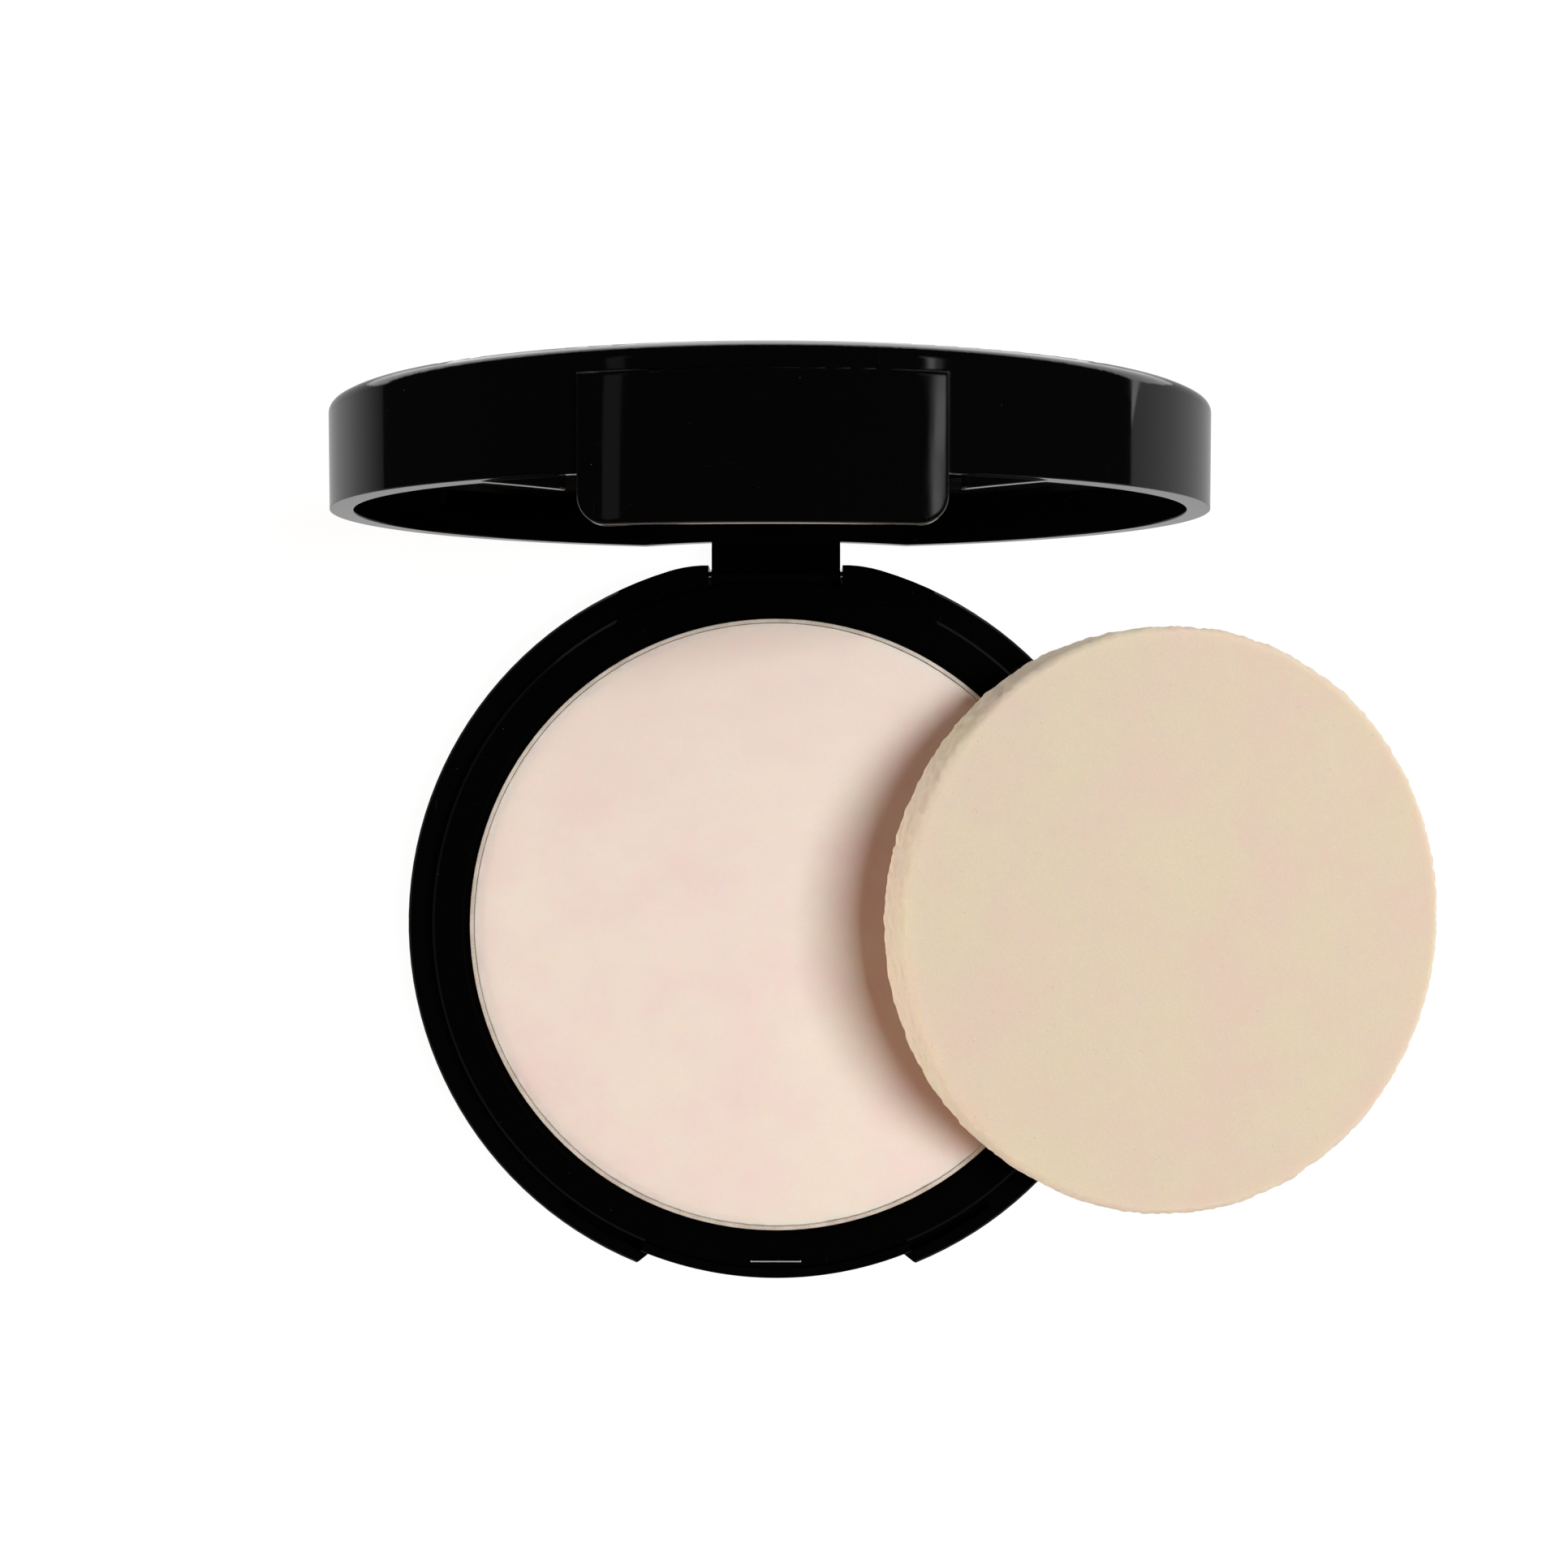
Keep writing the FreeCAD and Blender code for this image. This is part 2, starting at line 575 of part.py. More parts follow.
def make_lid_shell():
    body = new_body("lid_shell")
    gussets = [
        ("0 - gusset_half_foot", f"{RIM} + sink"),
        ("0 - gusset_half_foot", RIM),
        ("0 - gusset_half_tip", f"{RIM} - gusset_length"),
        ("gusset_half_tip", f"{RIM} - gusset_length"),
        ("gusset_half_foot", RIM),
        ("gusset_half_foot", f"{RIM} + sink"),
    ]
    front_block(body, "gussets", gussets)
    trim_ring(body, "gussets_trim", "gusset_outer_radius", "2 * base_radius", "0", FAR)

    outline = new_sketch(body, "outline", "XY_Plane", RIM)
    add_flattened_circle(outline, "lid_radius", "rear_flat", "rear_blend")
    extrude(body, "disc", outline, "lid_thick")
    top = value(f"{RIM} + lid_thick")
    band = dress(body, "Chamfer", "outer_band", "lid_bevel_down", level_edge(top))
    band.ChamferType = "Two distances"
    band.setExpression("Size2", bound("lid_bevel_in"))
    doc.recompute()
    dress(body, "Fillet", "wall_round", "lid_wall_round", level_edge(top - value("lid_bevel_down")))
    dress(body, "Fillet", "face_round", "lid_face_round", level_edge(top))

    front_block(body, "tab", [
        ("0 - tab_half", f"{RIM} + lid_thick - panel_top"),
        ("0 - tab_half", f"{RIM} - tab_length"),
        ("tab_half", f"{RIM} - tab_length"),
        ("tab_half", f"{RIM} + lid_thick - panel_top"),
    ], "tab_corner")
    trim_ring(body, "tab_outside", "tab_outer_radius", "2 * base_radius", "0", FAR)
    dress(body, "Fillet", "tab_edges", "tab_edge", edge_at_radius(value("tab_outer_radius")))
    trim_ring(body, "tab_inside", "0", "tab_inner_radius", "0", f"{RIM} - gusset_length")
    trim_ring(body, "gusset_inside", "0", "lid_radius - lid_wall", "0", RIM)

    cavity = new_sketch(body, "cavity_plan", "XY_Plane", "0")
    add_circle(cavity, "lid_radius - lid_wall")
    extrude(body, "cavity", cavity, ROOF, add=False)

    turn(body, "tab_room", [
        ("0 - tab_inner_radius", "0"),
        ("0 - lid_radius + lid_wall + past", "0"),
        ("0 - lid_radius + lid_wall + past", "front_wall_top + tab_room_gap"),
        ("0 - tab_inner_radius", "front_wall_top + tab_room_gap"),
    ], add=False, plane="YZ_Plane", sweep="tab_room_sweep")

    relief = new_sketch(body, "hinge_relief_rear", "XZ_Plane", f"0 - {FAR}")
    add_relief_outline(relief)
    extrude(body, "hinge_relief", relief, f"{FAR} - hinge_relief_front", add=False)

    lug = new_sketch(body, "lug_plan", "XY_Plane", "insert_top + lug_gap")
    add_polygon(lug, [
        ("0 - lug_half", "0 - lug_reach"),
        ("0 - lug_half", "0 - lid_radius + lid_wall / 2"),
        ("lug_half", "0 - lid_radius + lid_wall / 2"),
        ("lug_half", "0 - lug_reach"),
    ])
    extrude(body, "catch_lug", lug, "lug_thick")

    tongue = new_sketch(body, "tongue_side", "YZ_Plane")
    add_polygon(tongue, [
        ("hinge_y", "hinge_z"),
        ("rear_flat", "hinge_z"),
        ("rear_flat", f"{RIM} + hinge_relief_rise + sink"),
        ("lid_radius - lid_wall", f"{RIM} + hinge_relief_rise + sink"),
        ("lid_radius - lid_wall", RIM),
        ("hinge_y", f"{RIM} - sink"),
    ])
    extrude(body, "tongue", tongue, "2 * tongue_half", middle=True)
    barrel = new_sketch(body, "barrel_end", "YZ_Plane")
    add_circle(barrel, "barrel_radius", "hinge_y", "hinge_z")
    extrude(body, "barrel", barrel, "2 * tongue_half", middle=True)
    bore = new_sketch(body, "bore_end", "YZ_Plane")
    add_circle(bore, "pin_radius + pin_bore_gap", "hinge_y", "hinge_z")
    extrude(body, "bore", bore, FAR, add=False, middle=True)
    return body


def add_relief_outline(sketch):
    """Shallow arch over the rim, seen from the rear: an arc on a low block."""
    half, rise = value("hinge_relief_half"), value("hinge_relief_rise")
    low = value(RIM)
    radius = (half ** 2 + rise ** 2) / (2 * rise)
    centre = FreeCAD.Vector(0, low + rise - radius, 0)
    swing = math.asin(half / radius)
    circle = Part.Circle(centre, FreeCAD.Vector(0, 0, 1), radius)
    arc = sketch.addGeometry(Part.ArcOfCircle(circle, math.pi / 2 - swing, math.pi / 2 + swing), False)
    chord_ends = FreeCAD.Vector(-half, low, 0), FreeCAD.Vector(half, low, 0)
    chord = sketch.addGeometry(Part.LineSegment(*chord_ends), False)
    sketch.addConstraint(Sketcher.Constraint("Coincident", arc, 2, chord, 1))
    sketch.addConstraint(Sketcher.Constraint("Coincident", chord, 2, arc, 1))
    pin_point(sketch, chord, 1, "0 - hinge_relief_half", RIM)
    pin_point(sketch, chord, 2, "hinge_relief_half", RIM)
    constrain(sketch, "Radius", (arc,),
              "(hinge_relief_half ^ 2 + hinge_relief_rise ^ 2) / (2 * hinge_relief_rise)")


def make_mirror_frame():
    body = new_body("mirror_frame")
    glass_face = f"({ROOF} - tape_thick - mirror_thick)"
    rim = "(mirror_radius + frame_gap)"
    turn(body, "ring", [
        ("frame_opening", f"{glass_face} - frame_lip - frame_play"),
        ("lid_radius - lid_wall - frame_gap", f"{glass_face} - frame_lip - frame_play"),
        ("lid_radius - lid_wall - frame_gap", ROOF),
        (rim, ROOF),
        (rim, f"{glass_face} - frame_play"),
        ("frame_opening", f"{glass_face} - frame_play"),
    ])
    return body


def make_mirror_tape():
    body = new_body("mirror_tape")
    disc = new_sketch(body, "disc", "XY_Plane", f"{ROOF} - tape_thick")
    add_circle(disc, "tape_radius")
    extrude(body, "pad", disc, "tape_thick")
    return body


def make_mirror():
    body = new_body("mirror")
    face = f"{ROOF} - tape_thick - mirror_thick"
    disc = new_sketch(body, "disc", "XY_Plane", face)
    add_circle(disc, "mirror_radius")
    extrude(body, "glass", disc, "mirror_thick")
    dress(body, "Chamfer", "ground_edge", "mirror_bevel", ring_edge(value("mirror_radius"), value(face)))
    return body


def swing_open(body):
    """Turn a piece that is drawn shut about the hinge axis to its open place."""
    body.Placement = FreeCAD.Placement(FreeCAD.Vector(0, 0, 0), FreeCAD.Rotation(FreeCAD.Vector(-1, 0, 0), 1))
    swing = "(open_angle * 1 deg)"
    body.setExpression("Placement.Rotation.Angle", bound("open_angle * 1 deg"))
    body.setExpression("Placement.Base.y", bound(f"hinge_y - hinge_y * cos{swing} - hinge_z * sin{swing}"))
    body.setExpression("Placement.Base.z", bound(f"hinge_z + hinge_y * sin{swing} - hinge_z * cos{swing}"))


# ---------------------------------------------------------------- sponge

def make_sponge():
    body = new_body("sponge")
    turn(body, "foam", [
        ("0", "0"),
        ("sponge_radius", "0", "sponge_round"),
        ("sponge_radius", "sponge_thick", "sponge_round"),
        ("0", "sponge_thick"),
    ])

    lean = "(sponge_tilt * 1 deg)"
    rise = f"(sponge_radius - sponge_round) * sin{lean} + sponge_round * (1 - cos{lean}) + table_gap"
    touch = f"(insert_radius - insert_bevel) * sin{lean} + insert_top * cos{lean} + sponge_gap"
    body.Placement = FreeCAD.Placement(FreeCAD.Vector(0, 0, 0), FreeCAD.Rotation(FreeCAD.Vector(0, 1, 0), 1))
    body.setExpression("Placement.Rotation.Angle", bound("sponge_tilt * 1 deg"))
    body.setExpression("Placement.Base.z", bound(rise))
    body.setExpression("Placement.Base.y", bound("sponge_shift"))
    body.setExpression("Placement.Base.x", bound(f"({touch} - ({rise}) * cos{lean}) / sin{lean}"))
    return body


# ---------------------------------------------------------------- build and write

bodies = [
    make_base_shell(),
    make_base_insert(),
    make_hinge_pin(),
    make_bottom_label(),
    make_pan_glue(),
    make_powder_pan(),
    make_pressed_powder(),
    make_lid_shell(),
    make_mirror_frame(),
    make_mirror_tape(),
    make_mirror(),
    make_sponge(),
]
for body in bodies:
    if body.Label in LID_PIECES:
        swing_open(body)
doc.recompute()

for item in doc.Objects:
    if "Invalid" in item.State or "Error" in item.State:
        raise RuntimeError(f"{item.Label} failed: {item.State}")
for body in bodies:
    if body.Shape.isNull() or not body.Shape.isValid() or len(body.Shape.Solids) != 1:
        raise RuntimeError(f"{body.Label} is not one valid solid")

os.makedirs("parts", exist_ok=True)
for body in bodies:
    body.Shape.exportStep(os.path.join("parts", f"{body.Label}.step"))
    box = body.Shape.BoundBox
    print(f"{body.Label:15s} {body.Shape.Volume:10.1f} mm3  x {box.XMin:.2f}..{box.XMax:.2f}  "
          f"y {box.YMin:.2f}..{box.YMax:.2f}  z {box.ZMin:.2f}..{box.ZMax:.2f}")
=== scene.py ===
"""Looks of the powder compact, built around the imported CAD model."""

import math

import bpy
from mathutils import Matrix, Vector, noise


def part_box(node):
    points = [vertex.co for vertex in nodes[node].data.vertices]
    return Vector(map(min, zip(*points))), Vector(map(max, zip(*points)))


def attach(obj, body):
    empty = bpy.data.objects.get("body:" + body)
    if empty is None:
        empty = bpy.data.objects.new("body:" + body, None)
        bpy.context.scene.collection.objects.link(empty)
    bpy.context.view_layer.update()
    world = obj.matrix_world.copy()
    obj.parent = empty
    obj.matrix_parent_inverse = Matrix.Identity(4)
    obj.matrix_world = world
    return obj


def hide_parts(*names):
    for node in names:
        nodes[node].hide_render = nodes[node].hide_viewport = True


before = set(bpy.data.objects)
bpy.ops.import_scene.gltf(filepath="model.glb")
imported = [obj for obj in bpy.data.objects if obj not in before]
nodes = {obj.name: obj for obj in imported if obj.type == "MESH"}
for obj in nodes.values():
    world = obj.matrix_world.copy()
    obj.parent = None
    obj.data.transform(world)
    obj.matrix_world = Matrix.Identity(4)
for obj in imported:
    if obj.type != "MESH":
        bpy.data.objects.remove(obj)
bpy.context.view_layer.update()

MM = 0.001

# camera: straight above, a little behind the centre
CAMERA_PLACE = Vector((2.56, 16.38, 201.45)) * MM
CAMERA_PITCH = math.radians(0.822)
CAMERA_YAW = math.radians(-0.515)
CAMERA_ROLL = math.radians(0.036)
SENSOR_WIDTH = 36.0
LENS = 45.99

# sponge, as its CAD solid has it
SPONGE_RADIUS = 27.85 * MM
SPONGE_THICK = 6.0 * MM
SPONGE_TILT = math.radians(16.3)
SPONGE_ROUND = 0.8 * MM

# front edge of the catch rib and the height of its bevel, as the CAD has them; a painted highlight runs along
# this edge
CATCH_FRONT = -32.38 * MM
CATCH_BEVEL = 0.17 * MM

# the lights aim at the middle of the case, and the strips at the lid's tab
CASE_MIDDLE = Vector((0.01, 0.0, 0.01))
LID_TAB = Vector((0.0, 0.036, 0.07))

# the table that gloss sees in place of the endless floor: a front sheet, a seam and a brighter rear sheet
TABLE_LEFT = -0.177
TABLE_RIGHT = 0.32
TABLE_FRONT = -0.25
TABLE_SEAM = 0.08
TABLE_BACK = 0.30
FLOOR_REACH = 2.0

# the surround as seen, in gloss and as light, then the tones of the two lights for matt surfaces
WHITE = (1.0, 1.0, 1.0, 1.0)
NEAR_BLACK = (0.02, 0.02, 0.02, 1.0)
WARM_AMBIENT = (0.245, 0.089, 0.043, 1.0)
COOL_KEY = (0.86, 0.985, 1.0)
GREEN_FILL = (0.92, 1.0, 0.92)


# ---------------------------------------------------------------- materials

# the mix node's factor and two colours, and its result, by place, because their names repeat
MIX_INPUTS = (0, 6, 7)
MIX_RESULT = 2


def srgb(red, green, blue):
    """Linear colour from 0-255 display values."""
    def linear(level):
        level /= 255
        return level / 12.92 if level <= 0.04045 else ((level + 0.055) / 1.055) ** 2.4
    return (linear(red), linear(green), linear(blue), 1.0)


class Surface:
    """A principled material and short ways to add procedural detail to it."""

    def __init__(self, name, color, roughness, **sockets):
        self.material = bpy.data.materials.new(name)
        self.material.use_nodes = True
        self.tree = self.material.node_tree
        self.shader = self.tree.nodes["Principled BSDF"]
        self.shader.inputs["Base Color"].default_value = color
        self.shader.inputs["Roughness"].default_value = roughness
        for socket, amount in sockets.items():
            self.shader.inputs[socket.replace("_", " ")].default_value = amount
        self.place = self.tree.nodes.new("ShaderNodeTexCoord").outputs["Object"]
        self.normal = None

    def plug(self, amount, target):
        """Links another node's output to an input, or sets the input to a plain value."""
        if isinstance(amount, bpy.types.NodeSocket):
            self.tree.links.new(amount, target)
        else:
            target.default_value = amount

    def add(self, kind, **inputs):
        """New node with its inputs given by name, an underscore for each space."""
        made = self.tree.nodes.new(kind)
        for socket, amount in inputs.items():
            self.plug(amount, made.inputs[socket.replace("_", " ")])
        return made

    def stretched(self, x=1.0, y=1.0, z=1.0, turn=(0.0, 0.0, 0.0)):
        """Object coordinates turned and stretched, for grain that runs one way."""
        made = self.add("ShaderNodeMapping", Vector=self.place, Scale=(x, y, z), Rotation=turn)
        return made.outputs["Vector"]

    def along(self, axis):
        """Object coordinate along one axis."""
        return self.add("ShaderNodeSeparateXYZ", Vector=self.place).outputs[axis]

    def noise(self, size, detail=2.0, rough=0.5, place=None):
        """Noise from 0 to 1 whose blotches are about size metres across."""
        made = self.add("ShaderNodeTexNoise", Vector=place or self.place, Scale=1 / size,
                        Detail=detail, Roughness=rough)
        return made.outputs["Fac"]

    def cells(self, size):
        """Distance to the nearest cell's middle, cells about size metres across."""
        made = self.add("ShaderNodeTexVoronoi", Vector=self.place, Scale=1 / size)
        return made.outputs["Distance"]

    def remap(self, source, low, high, to_low=0.0, to_high=1.0):
        """Source stretched so that low becomes to_low and high becomes to_high, held there beyond."""
        made = self.add("ShaderNodeMapRange", Value=source, From_Min=low, From_Max=high,
                        To_Min=to_low, To_Max=to_high)
        return made.outputs["Result"]

    def combine(self, operation, first, second):
        """Two numbers put through one of the math node's operations."""
        made = self.tree.nodes.new("ShaderNodeMath")
        made.operation = operation
        for target, amount in zip(made.inputs, (first, second)):
            self.plug(amount, target)
        return made.outputs["Value"]

    def times(self, first, second):
        return self.combine("MULTIPLY", first, second)

    def blend(self, factor, first, second):
        """Mix of two colours, or of a colour socket and a colour."""
        made = self.tree.nodes.new("ShaderNodeMix")
        made.data_type = "RGBA"
        for slot, amount in zip(MIX_INPUTS, (factor, first, second)):
            self.plug(amount, made.inputs[slot])
        return made.outputs[MIX_RESULT]

    def color(self, source):
        """Lets a node colour the surface."""
        self.plug(source, self.shader.inputs["Base Color"])

    def roughness(self, source):
        """Lets a node set how blurred the gloss is."""
        self.plug(source, self.shader.inputs["Roughness"])

    def bump(self, height, depth):
        """Adds relief of depth metres; calls stack."""
        made = self.add("ShaderNodeBump", Height=height, Distance=depth, Strength=1.0)
        if self.normal:
            self.tree.links.new(self.normal, made.inputs["Normal"])
        self.normal = made.outputs["Normal"]
        self.tree.links.new(self.normal, self.shader.inputs["Normal"])

    def rounded(self, radius):
        """Softens sharp edges in the shading; comes before any bump."""
        made = self.add("ShaderNodeBevel", Radius=radius)
        made.samples = 4
        self.normal = made.outputs["Normal"]
        self.tree.links.new(self.normal, self.shader.inputs["Normal"])


def gloss_black(name, level, soft, catch=None):
    """Polished black moulding with flow waves, scratches and dust.

    soft is the radius that its edges shade with. catch is a point on the catch rib's front edge: what lies
    above and ahead of it gets a painted highlight, a pale grey line in the colour.
    """
    made = Surface(name, srgb(4, 4, 4), 0.06, Specular_IOR_Level=level)
    made.rounded(soft)
    hairs = made.noise(0.10 * MM, detail=3.0, rough=0.6, place=made.stretched(x=0.02, turn=(0.0, 0.0, 0.9)))
    crossed = made.noise(0.12 * MM, detail=3.0, rough=0.6, place=made.stretched(y=0.03, turn=(0.0, 0.0, 0.3)))
    scratches = made.combine("MAXIMUM", made.remap(hairs, 0.70, 0.78), made.remap(crossed, 0.71, 0.79))
    handled = made.remap(made.noise(9 * MM, detail=3.0), 0.48, 0.68)
    worn = made.times(scratches, handled)
    smear = made.remap(made.noise(4 * MM, detail=4.0, rough=0.6), 0.4, 0.8, to_low=0.04, to_high=0.10)
    made.roughness(made.combine("ADD", smear, made.times(worn, 0.25)))
    dust = made.remap(made.cells(0.9 * MM), 0.05, 0.02)
    flecks = made.times(dust, made.remap(made.noise(3 * MM), 0.55, 0.65))
    tone = made.blend(made.times(worn, 0.35), srgb(3, 3, 3), srgb(60, 60, 61))
    dust_and_highlight = made.blend(made.times(flecks, 0.5), tone, srgb(150, 138, 128))
    # painted highlight: a pale grey line along the catch rib's front edge, for the light its bevel catches
    if catch:
        edge = 0.03 * MM
        above = made.remap(made.along("Z"), catch.z, catch.z + edge)
        ahead = made.remap(made.along("Y"), catch.y, catch.y - edge)
        dust_and_highlight = made.blend(made.times(above, ahead), dust_and_highlight, srgb(178, 178, 178))
    made.color(dust_and_highlight)
    made.bump(made.noise(5 * MM, detail=1.0), 0.004 * MM)
    made.bump(worn, 0.001 * MM)
    return made.material


def satin_black():
    """Fine spark-eroded black plastic of the mirror's frame."""
    made = Surface("satin_black", srgb(20, 20, 21), 0.38, Specular_IOR_Level=0.4)
    made.rounded(0.1 * MM)
    grain = made.noise(0.12 * MM, detail=4.0, rough=0.6)
    made.roughness(made.remap(grain, 0.3, 0.7, to_low=0.32, to_high=0.5))
    made.color(made.blend(made.noise(6 * MM, detail=3.0), srgb(16, 16, 17), srgb(27, 27, 28)))
    made.bump(grain, 0.012 * MM)
    return made.material


def pan_metal():
    """Pressed aluminium sheet with drawing marks under a haze of powder."""
    made = Surface("pan_metal", srgb(236, 222, 208), 0.42, Metallic=0.3)
    made.rounded(0.15 * MM)
    marks = made.noise(0.15 * MM, detail=3.0, rough=0.6, place=made.stretched(z=12.0))
    made.roughness(made.remap(marks, 0.3, 0.7, to_low=0.22, to_high=0.42))
    haze = made.remap(made.noise(2 * MM, detail=3.0), 0.4, 0.65)
    made.color(made.blend(haze, srgb(222, 208, 194), srgb(244, 230, 216)))
    made.bump(marks, 0.004 * MM)
    return made.material


def pressed_powder():
    """Matt pressed powder: blush and cream clouds, painted shade of the lid towards the rear, with fine
    grain.
    """
    made = Surface("pressed_powder", srgb(236, 217, 203), 0.92, Specular_IOR_Level=0.15, Sheen_Weight=0.08,
                   Sheen_Roughness=0.6, Subsurface_Weight=0.45, Subsurface_Scale=1.8 * MM)
    made.shader.inputs["Subsurface Radius"].default_value = (1.0, 0.45, 0.3)
    clouds = made.remap(made.noise(9 * MM, detail=3.0, rough=0.55), 0.38, 0.64)
    base = made.blend(clouds, srgb(235, 213, 206), srgb(235, 221, 208))
    swept = made.stretched(x=0.6, turn=(0.0, 0.0, 0.5))
    patches = made.remap(made.noise(3.2 * MM, detail=3.0, rough=0.6, place=swept), 0.42, 0.7)
    tinted = made.blend(made.times(patches, 0.35), base, srgb(239, 225, 213))
    # painted shade: the rear of the cake turns darker and pinker, for the shade the open lid casts there
    rear_shade = made.remap(made.along("Y"), 2 * MM, 27 * MM, to_high=0.5)
    with_rear_shade = made.blend(rear_shade, tinted, srgb(232, 208, 200))
    grain = made.noise(0.14 * MM, detail=3.0, rough=0.7)
    made.color(made.blend(made.remap(grain, 0.35, 0.72, to_high=0.28), with_rear_shade, srgb(220, 199, 188)))
    made.bump(made.noise(1.6 * MM, detail=3.0, rough=0.6), 0.02 * MM)
    made.bump(grain, 0.014 * MM)
    return made.material


def foam():
    """Fine-celled foam, clouded from pinkish to yellowish cream, with open cells and a few pits darkened as
    painted shade.
    """
    made = Surface("foam", srgb(215, 197, 182), 0.95, Specular_IOR_Level=0.12, Sheen_Weight=0.1,
                   Sheen_Roughness=0.5, Subsurface_Weight=0.6, Subsurface_Scale=2.2 * MM)
    made.shader.inputs["Subsurface Radius"].default_value = (1.0, 0.7, 0.45)
    clouds = made.remap(made.noise(8 * MM, detail=4.0, rough=0.6), 0.36, 0.66)
    base = made.blend(clouds, srgb(220, 199, 184), srgb(218, 205, 181))
    grain = made.noise(0.22 * MM, detail=3.0, rough=0.65)
    tinted = made.blend(made.remap(grain, 0.3, 0.72, to_high=0.3), base, srgb(203, 184, 162))
    pits = made.remap(made.cells(0.55 * MM), 0.16, 0.05)
    rare = made.times(pits, made.remap(made.noise(1.3 * MM), 0.52, 0.66))
    # painted shade: the pits are darkened in colour for the shade in their hollows
    made.color(made.blend(made.times(rare, 0.3), tinted, srgb(178, 156, 134)))
    made.bump(grain, 0.05 * MM)
    made.bump(made.times(rare, -1.0), 0.05 * MM)
    return made.material


def silvered_glass():
    """Mirror with the faintest smears."""
    made = Surface("silvered_glass", srgb(236, 240, 240), 0.01, Metallic=1.0)
    wiped = made.stretched(x=0.5, z=1.3, turn=(0.4, 0.0, 0.3))
    smears = made.noise(7 * MM, detail=4.0, rough=0.6, place=wiped)
    made.roughness(made.remap(smears, 0.45, 0.75, to_low=0.008, to_high=0.03))
    made.color(made.blend(made.remap(smears, 0.5, 0.8), srgb(238, 241, 241), srgb(228, 232, 232)))
    return made.material


def blank_label():
    """Satin sticker with paper fibres, nothing printed."""
    made = Surface("blank_label", srgb(232, 231, 227), 0.5, Specular_IOR_Level=0.4)
    fibres = made.noise(0.25 * MM, detail=4.0, rough=0.65, place=made.stretched(y=0.3, turn=(0.0, 0.0, 0.6)))
    made.color(made.blend(made.remap(fibres, 0.3, 0.7), srgb(226, 225, 221), srgb(238, 237, 234)))
    made.roughness(made.remap(fibres, 0.3, 0.7, to_low=0.42, to_high=0.58))
    made.bump(fibres, 0.008 * MM)
    return made.material


def drawn_steel():
    """Hinge pin with drawing lines along it."""
    made = Surface("drawn_steel", srgb(190, 190, 193), 0.28, Metallic=1.0)
    lines = made.noise(0.06 * MM, place=made.stretched(x=0.03))
    made.roughness(made.remap(lines, 0.3, 0.7, to_low=0.2, to_high=0.4))
    made.color(made.blend(lines, srgb(170, 170, 174), srgb(205, 205, 208)))
    made.bump(lines, 0.003 * MM)
    return made.material


def soft_adhesive(name, tone):
    """Glue or tape, hidden once assembled."""
    made = Surface(name, tone, 0.6)
    lumps = made.noise(1.2 * MM, detail=3.0)
    made.color(made.blend(lumps, tone, srgb(240, 236, 222)))
    made.bump(lumps, 0.03 * MM)
    return made.material


def dress(node, material):
    """Puts one material on a CAD node."""
    for slot in nodes[node].material_slots:
        slot.material = material


# ---------------------------------------------------------------- pieces

def lathe(name, profile, turns, shape):
    """Closed round mesh from (radius, height) points, first and last on the axis; shape moves each point."""
    points = [shape(Vector((0.0, 0.0, profile[0][1])))]
    for radius, height in profile[1:-1]:
        for step in range(turns):
            angle = 2 * math.pi * step / turns
            points.append(shape(Vector((radius * math.cos(angle), radius * math.sin(angle), height))))
    points.append(shape(Vector((0.0, 0.0, profile[-1][1]))))
    rings = len(profile) - 2
    faces = []
    for step in range(turns):
        after = (step + 1) % turns
        faces.append((0, 1 + after, 1 + step))
        for ring in range(rings - 1):
            low, high = 1 + ring * turns, 1 + (ring + 1) * turns
            faces.append((low + step, low + after, high + after, high + step))
        last = 1 + (rings - 1) * turns
        faces.append((last + step, last + after, len(points) - 1))
    mesh = bpy.data.meshes.new(name)
    mesh.from_pydata(points, [], faces)
    mesh.validate()
    mesh.shade_smooth()
    piece = bpy.data.objects.new(name, mesh)
    bpy.context.scene.collection.objects.link(piece)
    return piece


def ramp(start, end, step):
    """Evenly spaced numbers from start to end, both included, about step apart."""
    count = max(1, round(abs(end - start) / step))
    return [start + (end - start) * index / count for index in range(count + 1)]


def ripple(point, size, seed):
    """Smooth noise from -1 to 1 with hills about size metres across."""
    return noise.noise(point / size + Vector((seed, 2.7 * seed, -1.3 * seed)))


